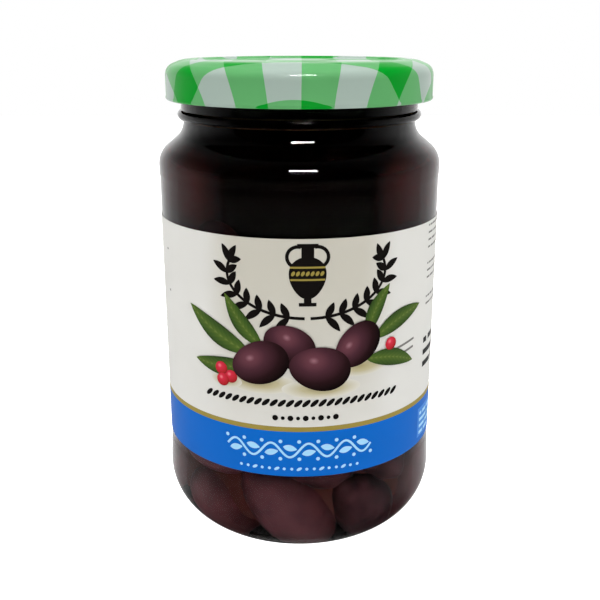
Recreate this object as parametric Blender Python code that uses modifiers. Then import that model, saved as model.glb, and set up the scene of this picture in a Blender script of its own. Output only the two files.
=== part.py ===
"""A twist-off jar of olives in brine, with a paper label and a drawn steel lid.

Run with: blender --background --python part.py

Metres, +Z up. The jar stands on its bearing ring: the origin is the centre of
that ring, and the front of the label faces -Y. Every piece is turned about the
Z axis, apart from the lugs that hold the lid.
"""

import math

import bmesh
import bpy
from mathutils import Matrix

MM = 0.001
GAP = 0.3 * MM
FACETS = 60

# Glass body: radii and heights of the outside
BODY_RADIUS = 37.2 * MM
PANEL_RADIUS = 36.85 * MM
PANEL_TOP = 97.0 * MM
PANEL_BOTTOM = 22.8 * MM
PANEL_STEP = 0.35 * MM
WALL = 2.4 * MM

# Heel and base
HEEL_BEAD_RADIUS = 37.54 * MM
HEEL_BEAD_HEIGHT = 14.5 * MM
HEEL_ARC = 15.57 * MM
HEEL_END_ANGLE = -66.0
BEARING_OUTER_RADIUS = 27.2 * MM
BEARING_INNER_RADIUS = 24.6 * MM
PUSH_UP_RADIUS = 23.4 * MM
PUSH_UP_START = 0.35 * MM
PUSH_UP_HEIGHT = 2.6 * MM
FLOOR_RING_HEIGHT = 2.7 * MM
FLOOR_CENTRE_HEIGHT = 5.0 * MM
FLOOR_ARC = 13.0 * MM

# Shoulder and neck: two arcs joined by their common tangent
SHOULDER_ARC = 6.1 * MM
SHOULDER_HEIGHT = 99.85 * MM
NECK_ARC = 5.5 * MM
NECK_RADIUS = 30.45 * MM
NECK_HEIGHT = 110.9 * MM

# Neck bead and finish
BEAD_RADIUS = 31.9 * MM
BEAD_HEIGHT = 112.4 * MM
BEAD_HALF_HEIGHT = 1.35 * MM
BEAD_TOP_ANGLE = 70.0
FINISH_RADIUS = 31.1 * MM
RIM_HEIGHT = 125.4 * MM
RIM_ROUND = 0.9 * MM

# Lid
LID_TOP = 126.2 * MM
LID_WALL = 0.4 * MM
LID_RING_INNER = 27.3 * MM
LID_PANEL_RADIUS = 26.3 * MM
LID_PANEL_DROP = 0.55 * MM
LID_BUTTON_RADIUS = 9.0 * MM
LID_BUTTON_RISE = 0.3 * MM
LID_RING_OUTER = 30.2 * MM
LID_CORNER = 3.0 * MM
LID_CORNER_HEIGHT = 122.4 * MM
LID_CORNER_END_ANGLE = 65.0
LID_SKIRT_RADIUS = 34.75 * MM
LID_CURL_RADIUS = 0.65 * MM
LID_CURL_CENTRE = 34.23 * MM
LID_BOTTOM = 116.1 * MM

# Lugs, six on the glass and six under the lid's curl
LUG_COUNT = 6
GLASS_LUG_SPAN = 30.0
GLASS_LUG_OUTER = 33.0 * MM
GLASS_LUG_HEIGHT = 118.3 * MM
GLASS_LUG_THICKNESS = 1.3 * MM
GLASS_LUG_RISE = 1.6 * MM
LID_LUG_SPAN = 14.0
LID_LUG_INNER = 32.0 * MM
LID_LUG_HEIGHT = LID_BOTTOM + 0.4 * MM
LID_LUG_THICKNESS = 0.7 * MM
LUG_FACETS = 6
LUG_CHAMFER = 0.15

# Contents and label
FILL_HEIGHT = 121.6 * MM
LABEL_RADIUS = PANEL_RADIUS + GAP
LABEL_THICKNESS = 0.15 * MM
LABEL_BOTTOM = 25.5 * MM
LABEL_TOP = 87.0 * MM
LABEL_SPAN = 338.0


def clear_scene():
    """Remove every object of the open scene."""
    for thing in list(bpy.data.objects):
        bpy.data.objects.remove(thing, do_unlink=True)


def new_collection(name):
    """Return a new collection linked to the scene."""
    collection = bpy.data.collections.new(name)
    bpy.context.scene.collection.children.link(collection)
    return collection


def new_material(name, colour, roughness, metallic=0.0, transmission=0.0):
    """Return a Principled material of one colour."""
    material = bpy.data.materials.new(name)
    material.use_nodes = True
    shader = material.node_tree.nodes["Principled BSDF"]
    shader.inputs["Base Color"].default_value = (*colour, 1.0)
    shader.inputs["Roughness"].default_value = roughness
    shader.inputs["Metallic"].default_value = metallic
    shader.inputs["Transmission Weight"].default_value = transmission
    return material


def arc(centre, radius, start, end, segments, height_radius=None):
    """Return points (r, z) on an arc; angles in degrees from +X, ends included."""
    second = radius if height_radius is None else height_radius
    points = []
    for step in range(segments + 1):
        angle = math.radians(start + (end - start) * step / segments)
        points.append((centre[0] + radius * math.cos(angle), centre[1] + second * math.sin(angle)))
    return points


def shoulder_centre():
    """Centre of the shoulder's arc, the same for the outside and the inside."""
    return (BODY_RADIUS - SHOULDER_ARC, SHOULDER_HEIGHT)


def neck_centre():
    """Centre of the neck's hollow arc, the same for the outside and the inside."""
    return (NECK_RADIUS + NECK_ARC, NECK_HEIGHT)


def tangent_angle():
    """Angle in degrees at which the shoulder's arc leaves for the neck's arc."""
    across = neck_centre()[0] - shoulder_centre()[0]
    up = neck_centre()[1] - shoulder_centre()[1]
    lean = math.degrees(math.asin((SHOULDER_ARC + NECK_ARC) / math.hypot(across, up)))
    return math.degrees(math.atan2(up, across)) + lean - 90.0


def cavity_outline(inset):
    """Return the inside of the glass from the middle of its floor up to the neck.

    inset moves the outline into the cavity, for what fills it.
    """
    wall_radius = BODY_RADIUS - WALL - inset
    floor_arc = FLOOR_ARC - inset
    floor_centre = (BODY_RADIUS - WALL - FLOOR_ARC, FLOOR_RING_HEIGHT + FLOOR_ARC)
    leave = tangent_angle()
    points = [(0.0, FLOOR_CENTRE_HEIGHT + inset)]
    points += arc(floor_centre, floor_arc, -90.0, 0.0, 4)
    points += arc(shoulder_centre(), wall_radius - shoulder_centre()[0], 0.0, leave, 2)
    points += arc(neck_centre(), NECK_ARC + WALL + inset, 180.0 + leave, 180.0, 2)
    return points


def base_outline():
    """Return the outside from the heel bead down to the middle of the push-up."""
    heel_centre = (HEEL_BEAD_RADIUS - HEEL_ARC, HEEL_BEAD_HEIGHT)
    rise = PUSH_UP_HEIGHT - PUSH_UP_START
    dome = (PUSH_UP_RADIUS ** 2 + rise ** 2) / (2.0 * rise)
    dome_edge = math.degrees(math.acos(PUSH_UP_RADIUS / dome))
    points = arc(heel_centre, HEEL_ARC, 0.0, HEEL_END_ANGLE, 5)
    points += [(BEARING_OUTER_RADIUS, 0.0), (BEARING_INNER_RADIUS, 0.0)]
    points += arc((0.0, PUSH_UP_HEIGHT - dome), dome, dome_edge, 90.0, 2)[:-1]
    points.append((0.0, PUSH_UP_HEIGHT))
    return points


def jar_outline():
    """Return the glass: up the inside, over the rim and down the outside."""
    leave = tangent_angle()
    bore = NECK_RADIUS - WALL
    points = cavity_outline(0.0)
    points += arc((bore + RIM_ROUND, RIM_HEIGHT - RIM_ROUND), RIM_ROUND, 180.0, 90.0, 1)
    points += arc((FINISH_RADIUS - RIM_ROUND, RIM_HEIGHT - RIM_ROUND), RIM_ROUND, 90.0, 0.0, 1)
    points += arc((NECK_RADIUS, BEAD_HEIGHT), BEAD_RADIUS - NECK_RADIUS,
                  BEAD_TOP_ANGLE, -90.0, 4, BEAD_HALF_HEIGHT)
    points += arc(neck_centre(), NECK_ARC, 180.0, 180.0 + leave, 2)
    points += arc(shoulder_centre(), SHOULDER_ARC, leave, 0.0, 3)
    points += [(BODY_RADIUS, PANEL_TOP + PANEL_STEP), (PANEL_RADIUS, PANEL_TOP)]
    points += [(PANEL_RADIUS, PANEL_BOTTOM), (BODY_RADIUS, PANEL_BOTTOM - PANEL_STEP)]
    return points + base_outline()


def contents_outline():
    """Return the brine and olives: out over the level top, then down the side."""
    points = cavity_outline(GAP)
    edge = points[-1][0]
    return [(0.0, FILL_HEIGHT), (edge, FILL_HEIGHT), *reversed(points)]


def lid_outline():
    """Return the lid: out over the top, down the skirt, round the curl and back inside."""
    panel = LID_TOP - LID_PANEL_DROP
    inner_skirt = LID_SKIRT_RADIUS - LID_WALL
    curl_centre = (LID_CURL_CENTRE, LID_BOTTOM + LID_CURL_RADIUS)
    outer_meet = math.degrees(math.acos((LID_SKIRT_RADIUS - LID_CURL_CENTRE) / LID_CURL_RADIUS))
    inner_meet = math.degrees(math.acos((inner_skirt - LID_CURL_CENTRE) / LID_CURL_RADIUS)) - 360.0
    corner_centre = (LID_SKIRT_RADIUS - LID_CORNER, LID_CORNER_HEIGHT)
    points = [(0.0, panel + LID_BUTTON_RISE), (LID_BUTTON_RADIUS, panel)]
    points += [(LID_PANEL_RADIUS, panel), (LID_RING_INNER, LID_TOP), (LID_RING_OUTER, LID_TOP)]
    points += arc(corner_centre, LID_CORNER, LID_CORNER_END_ANGLE, 0.0, 3)
    points += arc(curl_centre, LID_CURL_RADIUS, outer_meet, inner_meet, 4)
    points += arc(corner_centre, LID_CORNER - LID_WALL, 0.0, LID_CORNER_END_ANGLE, 2)
    points += [(LID_RING_OUTER, LID_TOP - LID_WALL), (LID_RING_INNER + LID_WALL, LID_TOP - LID_WALL)]
    points += [(LID_PANEL_RADIUS + LID_WALL, panel - LID_WALL), (0.0, panel - LID_WALL)]
    return points


def turned(name, outline, collection, material):
    """Return an object whose outline of (r, z) points is turned about Z."""
    mesh = bpy.data.meshes.new(name)
    edges = [(index, index + 1) for index in range(len(outline) - 1)]
    mesh.from_pydata([(radius, 0.0, height) for radius, height in outline], edges, [])
    piece = bpy.data.objects.new(name, mesh)
    collection.objects.link(piece)
    mesh.materials.append(material)
    screw = piece.modifiers.new("Turn", "SCREW")
    screw.axis = "Z"
    screw.angle = math.tau
    screw.steps = FACETS
    screw.render_steps = FACETS
    screw.use_merge_vertices = True
    screw.merge_threshold = 0.00001
    screw.use_smooth_shade = True
    return piece


def lug_ring(name, inner, outer, height, thickness, rise, span, cutters):
    """Return six curved lugs in one hidden object, for joining to a turned piece."""
    form = bmesh.new()
    chamfer = LUG_CHAMFER * thickness
    corners = [(inner, height), (outer, height + chamfer),
               (outer, height + thickness - chamfer), (inner, height + thickness)]
    for index in range(LUG_COUNT):
        section = [form.verts.new((radius, 0.0, level)) for radius, level in corners]
        face = form.faces.new(section)
        turn = Matrix.Rotation(math.tau * index / LUG_COUNT, 3, "Z")
        bmesh.ops.rotate(form, verts=section, cent=(0.0, 0.0, 0.0), matrix=turn)
        bmesh.ops.spin(form, geom=[face, *face.edges, *section], cent=(0.0, 0.0, 0.0),
                       axis=(0.0, 0.0, 1.0), dvec=(0.0, 0.0, rise / LUG_FACETS),
                       angle=math.radians(span), steps=LUG_FACETS, use_duplicate=False)
    bmesh.ops.recalc_face_normals(form, faces=form.faces)
    mesh = bpy.data.meshes.new(name)
    form.to_mesh(mesh)
    form.free()
    ring = bpy.data.objects.new(name, mesh)
    cutters.objects.link(ring)
    ring.hide_render = True
    ring.display_type = "WIRE"
    return ring


def join_lugs(piece, ring):
    """Join a ring of lugs to a piece with a Boolean union."""
    union = piece.modifiers.new("Lugs", "BOOLEAN")
    union.operation = "UNION"
    union.solver = "EXACT"
    union.object = ring


def wrap_label(collection, material):
    """Return the paper label: one edge swept round the jar, open at the back."""
    mesh = bpy.data.meshes.new("label")
    ends = [(LABEL_RADIUS, 0.0, LABEL_TOP), (LABEL_RADIUS, 0.0, LABEL_BOTTOM)]
    mesh.from_pydata(ends, [(0, 1)], [])
    mesh.materials.append(material)
    label = bpy.data.objects.new("label", mesh)
    collection.objects.link(label)
    half_opening = (360.0 - LABEL_SPAN) / 2.0
    label.rotation_euler = (0.0, 0.0, math.radians(90.0 + half_opening))
    sweep = label.modifiers.new("Wrap", "SCREW")
    sweep.axis = "Z"
    sweep.angle = math.radians(LABEL_SPAN)
    sweep.steps = FACETS
    sweep.render_steps = FACETS
    sweep.use_smooth_shade = True
    thickness = label.modifiers.new("Paper", "SOLIDIFY")
    thickness.thickness = LABEL_THICKNESS
    thickness.offset = 1.0
    return label


def main():
    """Build the jar, its contents, its label and its lid."""
    clear_scene()
    parts = new_collection("olive_jar")
    cutters = new_collection("cutters")
    glass = new_material("flint glass", (0.90, 0.93, 0.92), 0.03, transmission=1.0)
    olives = new_material("dark olives in brine", (0.035, 0.012, 0.012), 0.2)
    tinplate = new_material("lacquered tinplate", (0.15, 0.55, 0.20), 0.25, metallic=0.0)
    paper = new_material("varnished label paper", (0.78, 0.75, 0.64), 0.35)

    jar = turned("jar", jar_outline(), parts, glass)
    thread = lug_ring("jar_lugs", FINISH_RADIUS - WALL / 2.0, GLASS_LUG_OUTER, GLASS_LUG_HEIGHT,
                      GLASS_LUG_THICKNESS, GLASS_LUG_RISE, GLASS_LUG_SPAN, cutters)
    join_lugs(jar, thread)

    turned("contents", contents_outline(), parts, olives)

    lid = turned("lid", lid_outline(), parts, tinplate)
    claws = lug_ring("lid_lugs", LID_LUG_INNER, LID_CURL_CENTRE, LID_LUG_HEIGHT,
                     LID_LUG_THICKNESS, 0.0, LID_LUG_SPAN, cutters)
    join_lugs(lid, claws)

    wrap_label(parts, paper)


main()
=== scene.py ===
"""Looks of a jar of dark olives in brine, with a wrap-round label and a checked twist-off lid.

Outlines and print are worked out in millimetres and become metres when a mesh
is made. The jar's axis is Z, and the middle of the label faces -Y.
"""

import logging
import math
from collections.abc import Callable, Iterable
from dataclasses import dataclass, field
from enum import Enum
from functools import partial

import bmesh
import bpy
import numpy as np
from mathutils import Matrix, Vector


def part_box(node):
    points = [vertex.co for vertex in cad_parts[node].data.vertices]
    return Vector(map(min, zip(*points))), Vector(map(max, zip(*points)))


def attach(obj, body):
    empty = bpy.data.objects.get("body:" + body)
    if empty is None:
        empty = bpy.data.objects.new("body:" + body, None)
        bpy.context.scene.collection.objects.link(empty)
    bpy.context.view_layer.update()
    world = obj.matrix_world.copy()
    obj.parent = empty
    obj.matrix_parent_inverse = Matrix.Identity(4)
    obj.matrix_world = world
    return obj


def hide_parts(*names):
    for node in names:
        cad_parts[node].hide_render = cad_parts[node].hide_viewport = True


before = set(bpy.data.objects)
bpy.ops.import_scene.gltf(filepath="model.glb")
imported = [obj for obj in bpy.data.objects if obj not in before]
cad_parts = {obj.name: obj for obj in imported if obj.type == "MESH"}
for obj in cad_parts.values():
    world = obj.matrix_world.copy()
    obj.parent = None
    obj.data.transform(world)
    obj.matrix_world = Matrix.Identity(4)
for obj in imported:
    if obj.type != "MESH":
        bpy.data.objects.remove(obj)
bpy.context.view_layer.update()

MM = 0.001
LOG = logging.getLogger("olive_jar")

Outline = list[tuple[float, float]]
Colour = tuple[float, float, float, float]
Form = bmesh.types.BMesh
Material = bpy.types.Material
Piece = bpy.types.Object
Tree = bpy.types.NodeTree
Socket = bpy.types.NodeSocket
Finish = tuple[Material, Tree, bpy.types.Node]

# What the gloss varnish gives to the label's paper and to its inks
VARNISH = {"Roughness": 0.5, "Specular IOR Level": 0.05, "Coat Weight": 0.12, "Coat Roughness": 0.05}


def linear(hex_colour: str) -> Colour:
    """Turn an sRGB colour of six hex digits into the linear colour that shaders read."""
    channels = [int(hex_colour[place:place + 2], 16) / 255.0 for place in (0, 2, 4)]
    red, green, blue = (c / 12.92 if c <= 0.04045 else ((c + 0.055) / 1.055) ** 2.4 for c in channels)
    return (red, green, blue, 1.0)


def reach(node: str) -> tuple[float, float, float]:
    """Return a turned CAD node's radius, lowest height and highest height in millimetres."""
    low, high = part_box(node)
    return (high.x / MM, low.z / MM, high.z / MM)


def arc(centre: tuple[float, float], radius: float, start: float, end: float,
        segments: int, height_radius: float | None = None) -> Outline:
    """Lay points on an arc of an outline.

    Args:
        centre: Radius and height of the arc's centre.
        radius: The arc's radius, or its half width where height_radius is given.
        start: First angle in degrees, from the outward direction.
        end: Last angle in degrees.
        segments: Number of straight pieces.
        height_radius: Half height of an elliptical arc.

    Returns:
        The points, both ends included.
    """
    upright = radius if height_radius is None else height_radius
    angles = [math.radians(start + (end - start) * step / segments) for step in range(segments + 1)]
    return [(centre[0] + radius * math.cos(a), centre[1] + upright * math.sin(a)) for a in angles]


def soften(corners: Iterable[tuple[float, float, float]], segments: int = 5) -> Outline:
    """Round the corners of an outline.

    Args:
        corners: Radius, height and the length cut back on each side of the corner.
        segments: Straight pieces in each rounded corner.

    Returns:
        The rounded outline.
    """
    listed = [(Vector((radius, height)), cut) for radius, height, cut in corners]
    points: Outline = []
    for index, (corner, cut) in enumerate(listed):
        if cut == 0.0 or index in (0, len(listed) - 1):
            points.append((corner.x, corner.y))
            continue
        before = corner + (listed[index - 1][0] - corner).normalized() * cut
        after = corner + (listed[index + 1][0] - corner).normalized() * cut
        for step in range(segments + 1):
            t = step / segments
            place = before * (1 - t) ** 2 + corner * 2 * t * (1 - t) + after * t ** 2
            points.append((place.x, place.y))
    return points


def turn(form: Form, outline: Outline, facets: int) -> None:
    """Turn an outline about Z into a closed skin with its faces outwards.

    Args:
        form: The mesh that gets the skin.
        outline: Points of radius and height in millimetres, on the axis or closed.
        facets: Number of facets round the axis.
    """
    verts = [form.verts.new((radius * MM, 0.0, height * MM)) for radius, height in outline]
    edges = [form.edges.new(pair) for pair in zip(verts, verts[1:])]
    bmesh.ops.spin(form, geom=verts + edges, cent=(0, 0, 0), axis=(0, 0, 1),
                   angle=math.tau, steps=facets, use_merge=True, use_duplicate=False)
    bmesh.ops.remove_doubles(form, verts=form.verts, dist=0.000001)
    face_outwards(form)


def face_outwards(form: Form) -> None:
    """Turn the faces of closed skins outwards."""
    bmesh.ops.recalc_face_normals(form, faces=form.faces)
    if form.calc_volume(signed=True) < 0:
        bmesh.ops.reverse_faces(form, faces=form.faces)


def make_piece(form: Form, name: str, materials: list[Material], sharp_angle: float = 40.0) -> Piece:
    """Make an object at the origin from a mesh under construction.

    Args:
        form: The finished mesh, which is freed.
        name: The piece's name.
        materials: One material for each slot that its faces use.
        sharp_angle: Edges that turn more than this many degrees stay sharp.

    Returns:
        The new object, linked to the scene.
    """
    mesh = bpy.data.meshes.new(name)
    form.to_mesh(mesh)
    form.free()
    for material in materials:
        mesh.materials.append(material)
    mesh.shade_smooth()
    mesh.set_sharp_from_angle(angle=math.radians(sharp_angle))
    piece = bpy.data.objects.new(name, mesh)
    bpy.context.scene.collection.objects.link(piece)
    return piece


def keep(piece: Piece, slot: str, *replaced: str) -> None:
    """Fix a piece to the jar's body.

    Args:
        piece: The finished piece.
        slot: The record's material slot for its finish; not used.
        replaced: CAD nodes that it stands for.
    """
    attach(piece, "root")
    if replaced:
        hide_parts(*replaced)
    LOG.info("%s: %d faces", piece.name, len(piece.data.polygons))


def turn_piece(name: str, outline: Outline, facets: int, material: Material,
               slot: str, *replaced: str) -> None:
    """Turn an outline into a piece of one material and fix it to the jar's body."""
    form = bmesh.new()
    turn(form, outline, facets)
    keep(make_piece(form, name, [material]), slot, *replaced)


def add_node(tree: Tree, kind: str, settings: dict | None = None,
             inputs: dict | None = None) -> bpy.types.Node:
    """Add a node with its settings and its links.

    Args:
        tree: The material's or world's node tree.
        kind: The node's type name.
        settings: Properties of the node by name.
        inputs: Sockets by name or number, each given a value or another node's output.

    Returns:
        The new node.
    """
    node = tree.nodes.new(kind)
    for name, value in (settings or {}).items():
        setattr(node, name, value)
    for socket, value in (inputs or {}).items():
        if isinstance(value, Socket):
            tree.links.new(value, node.inputs[socket])
        else:
            node.inputs[socket].default_value = value
    return node


def maths(tree: Tree, operation: str, *values: object) -> Socket:
    """Add a Math node and return its output."""
    node = add_node(tree, "ShaderNodeMath", {"operation": operation}, dict(enumerate(values)))
    return node.outputs[0]


def blend(tree: Tree, amount: object, first: object, second: object) -> Socket:
    """Mix two colours by an amount and return the mixed colour's output."""
    node = add_node(tree, "ShaderNodeMix", {"data_type": "RGBA"}, {0: amount, 6: first, 7: second})
    return node.outputs[2]


def fade(tree: Tree, value: Socket, start: float, end: float,
         low: float = 0.0, high: float = 1.0) -> Socket:
    """Return what eases from low to high while a value goes from start to end."""
    node = add_node(tree, "ShaderNodeMapRange", {"interpolation_type": "SMOOTHSTEP"},
                    {0: value, 1: start, 2: end, 3: low, 4: high})
    return node.outputs[0]


def axes(tree: Tree, place: Socket) -> list[Socket]:
    """Split a place into its three coordinates."""
    return list(add_node(tree, "ShaderNodeSeparateXYZ", inputs={0: place}).outputs)


def ramp(tree: Tree, value: Socket, stops: tuple[tuple[float, str], ...]) -> Socket:
    """Return a value's colour on a ramp with hex colours at places from 0 to 1."""
    node = add_node(tree, "ShaderNodeValToRGB", inputs={0: value})
    while len(node.color_ramp.elements) < len(stops):
        node.color_ramp.elements.new(1.0)
    for element, (place, colour) in zip(node.color_ramp.elements, stops):
        element.position = place
        element.color = linear(colour)
    return node.outputs["Color"]


def new_finish(name: str, sockets: dict) -> Finish:
    """Start a Principled material.

    Args:
        name: What the real material is.
        sockets: Values that are the same all over the surface, by socket name.

    Returns:
        The material, its node tree and its shader.
    """
    material = bpy.data.materials.new(name)
    material.use_nodes = True
    tree = material.node_tree
    shader = tree.nodes["Principled BSDF"]
    for socket, value in sockets.items():
        shader.inputs[socket].default_value = value
    return material, tree, shader


def clear_finish(name: str, tint: str, index: float) -> Finish:
    """Start a polished Principled material that light passes through."""
    return new_finish(name, {
        "Base Color": linear(tint), "Roughness": 0.0, "IOR": index, "Transmission Weight": 1.0})


def object_place(tree: Tree) -> Socket:
    """Return the Object coordinates, in metres."""
    return add_node(tree, "ShaderNodeTexCoord").outputs["Object"]


def noise(tree: Tree, spacing: float, detail: float = 2.0) -> Socket:
    """Add noise on Object coordinates, its patches about spacing millimetres apart."""
    node = add_node(tree, "ShaderNodeTexNoise", inputs={
        "Vector": object_place(tree), "Scale": 1.0 / (spacing * MM), "Detail": detail})
    return node.outputs["Fac"]


def raise_surface(tree: Tree, shader: bpy.types.Node, height: Socket, depth: float) -> None:
    """Give a shader relief from a height of 0 to 1 and a depth in millimetres."""
    bump = add_node(tree, "ShaderNodeBump", inputs={"Height": height, "Distance": depth * MM})
    tree.links.new(bump.outputs["Normal"], shader.inputs["Normal"])


@dataclass(frozen=True)
class FlintGlass:
    """Flint container glass, blown and fire-polished: clear, faintly grey-green, mirror-smooth."""

    tint: str = "f6f9f7"
    index: float = 1.5

    def make(self) -> Material:
        """Return the material."""
        return clear_finish("flint container glass", self.tint, self.index)[0]


@dataclass(frozen=True)
class WettedGlass:
    """The inner face of the glass where brine wets it: light passes almost without a reflection."""

    index: float = 1.103

    def make(self) -> Material:
        """Return the material, whose index is that of glass over that of brine."""
        return clear_finish("glass wetted by brine", "ffffff", self.index)[0]


@dataclass(frozen=True)
class OliveBrine:
    """Salt brine stained by dark olives: clear, but so red-brown that a centimetre of it is nearly black.

    Its own surface bends nothing, because the wetted glass round it already does.
    """

    colour: str = "a8483c"
    density: float = 150.0
    index: float = 1.0

    def make(self) -> Material:
        """Return the material, clear at its surface and coloured in its depth."""
        material, tree, _ = clear_finish("olive brine", "ffffff", self.index)
        depth = add_node(tree, "ShaderNodeVolumeAbsorption",
                         inputs={"Color": linear(self.colour), "Density": self.density})
        tree.links.new(depth.outputs[0], tree.nodes["Material Output"].inputs["Volume"])
        return material


@dataclass(frozen=True)
class OliveSkin:
    """Cured black olive skin: aubergine to red-brown, mottled in patches of a few millimetres.

    Its index is that of wax over that of brine, so that it hardly shines.
    """

    dark: str = "2a141a"
    ripe: str = "784a50"
    patch: float = 5.0
    mottle: float = 0.9
    wrinkle: tuple[float, float] = (1.6, 0.12)

    def make(self) -> Material:
        """Return the material; an attribute of each olive's own ripeness and painted light moves it between
        dark and ripe.
        """
        material, tree, shader = new_finish("cured olive skin", {
            "Roughness": 0.38, "IOR": 1.07})
        own = add_node(tree, "ShaderNodeAttribute", {"attribute_name": "ripeness_and_light"}).outputs["Fac"]
        patches = maths(tree, "MULTIPLY_ADD", noise(tree, self.patch, 4.0), self.mottle, -self.mottle / 2.0)
        amount = add_node(tree, "ShaderNodeClamp", inputs={0: maths(tree, "ADD", own, patches)})
        colour = blend(tree, amount.outputs[0], linear(self.dark), linear(self.ripe))
        tree.links.new(colour, shader.inputs["Base Color"])
        spacing, depth = self.wrinkle
        raise_surface(tree, shader, noise(tree, spacing, 3.0), depth)
        return material


@dataclass(frozen=True)
class OliveShade:
    """The dark between packed olives, where hardly any light comes back.

    Sides, neck and heel say where each change begins and where it is complete, in metres.
    """

    colour: str = "0a0404"
    side_colour: str = "6a2626"
    low_colours: tuple[str, str] = ("50302e", "8a5a54")
    patch: float = 9.0
    sides: tuple[float, float] = (0.016, 0.026)
    neck: tuple[float, float] = (0.104, 0.098)
    heel: tuple[float, float] = (0.045, 0.02)

    def make(self) -> Material:
        """Return the material: redder at both sides and near the base, where the light comes in."""
        material, tree, shader = new_finish("shade between olives", {"Roughness": 1.0, "IOR": 1.0})
        across, _, up = axes(tree, object_place(tree))
        beside = maths(tree, "MULTIPLY", fade(tree, maths(tree, "ABSOLUTE", across), *self.sides),
                       fade(tree, up, *self.neck))
        colour = blend(tree, beside, linear(self.colour), linear(self.side_colour))
        mottled = blend(tree, noise(tree, self.patch), *(linear(low) for low in self.low_colours))
        colour = blend(tree, fade(tree, up, *self.heel), colour, mottled)
        tree.links.new(colour, shader.inputs["Base Color"])
        return material


@dataclass(frozen=True)
class CheckedEnamel:
    """Gingham printed on flat tinplate and varnished: white, light green, dark green where bands cross."""

    white: str = "a3b4aa"
    light: str = "60a868"
    dark: str = "029426"
    band: float = 9.4
    across_shift: float = 0.6
    along_shift: float = 21.1

    def stripe(self, tree: Tree, place: Socket, shift: float) -> Socket:
        """Return 1 inside the bands of one direction, one of which begins at shift, and 0 between."""
        turns = maths(tree, "DIVIDE", maths(tree, "SUBTRACT", place, shift), 2 * self.band)
        return maths(tree, "LESS_THAN", maths(tree, "FRACT", turns), 0.5)

    def make(self) -> Material:
        """Return the material, which reads where each point lay on the flat sheet."""
        material, tree, shader = new_finish("varnished gingham enamel", {
            "Roughness": 0.3, "Specular IOR Level": 0.08, "Coat Weight": 0.35, "Coat Roughness": 0.03})
        sheet = add_node(tree, "ShaderNodeUVMap", {"uv_map": "flat sheet"}).outputs["UV"]
        across, along, _ = axes(tree, sheet)
        first = self.stripe(tree, across, self.across_shift)
        second = self.stripe(tree, along, self.along_shift)
        either = maths(tree, "MAXIMUM", first, second)
        both = maths(tree, "MULTIPLY", first, second)
        tint = blend(tree, either, linear(self.white), linear(self.light))
        tree.links.new(blend(tree, both, tint, linear(self.dark)), shader.inputs["Base Color"])
        return material


@dataclass(frozen=True)
class GoldLacquer:
    """Clear gold lacquer over tinplate, as inside a lid: a soft yellow metal."""

    colour: str = "a08a4e"

    def make(self) -> Material:
        """Return the material."""
        return new_finish("gold lacquered tinplate", {
            "Base Color": linear(self.colour), "Metallic": 1.0, "Roughness": 0.34})[0]


@dataclass(frozen=True)
class SealingCompound:
    """Soft sealing compound cast into a lid: matt off-white."""

    colour: str = "d9d6cb"

    def make(self) -> Material:
        """Return the material."""
        return new_finish("sealing compound", {
            "Base Color": linear(self.colour), "Roughness": 0.55})[0]


@dataclass(frozen=True)
class VarnishedPaper:
    """Coated label paper under a gloss varnish: even colour, a clear sheen and a faint fibre relief."""

    name: str
    colour: str
    cloud: str
    tone: str = ""
    cloud_size: float = 14.0
    cloud_share: float = 0.4
    fibre: tuple[float, float] = (0.5, 0.004)
    tone_angles: tuple[float, float] = (0.72, 0.4)
    tone_heights: tuple[float, float] = (0.02, 0.08)

    def make(self) -> Material:
        """Return the material, with a soft darker tone in the front's middle where one is given."""
        material, tree, shader = new_finish(self.name, VARNISH)
        clouds = maths(tree, "MULTIPLY", noise(tree, self.cloud_size), self.cloud_share)
        colour = blend(tree, clouds, linear(self.colour), linear(self.cloud))
        if self.tone:
            colour = blend(tree, self.tone_mask(tree), colour, linear(self.tone))
        tree.links.new(colour, shader.inputs["Base Color"])
        # Real fibres are 0.02 mm across, too fine to show, so they are drawn 0.5 mm apart
        spacing, depth = self.fibre
        raise_surface(tree, shader, noise(tree, spacing, 3.0), depth)
        return material

    def tone_mask(self, tree: Tree) -> Socket:
        """Return how much of the tone lies at each place, by its angle from the front and its height."""
        across, back, up = axes(tree, object_place(tree))
        angle = maths(tree, "ARCTAN2", across, maths(tree, "MULTIPLY", back, -1.0))
        none, full = self.tone_angles
        sides = maths(tree, "MULTIPLY", fade(tree, angle, -none, -full), fade(tree, angle, none, full))
        return maths(tree, "MULTIPLY", sides, fade(tree, up, *self.tone_heights))


@dataclass(frozen=True)
class FlatInk:
    """One solid printing ink under the label's varnish."""

    name: str
    colour: str

    def make(self) -> Material:
        """Return the material."""
        return new_finish(self.name, {"Base Color": linear(self.colour), **VARNISH})[0]


class Shading(Enum):
    """How a printed form is shaded, from the place within it."""

    ROUND = "round"
    LEAF = "leaf"
    FADE = "fade"


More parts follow.
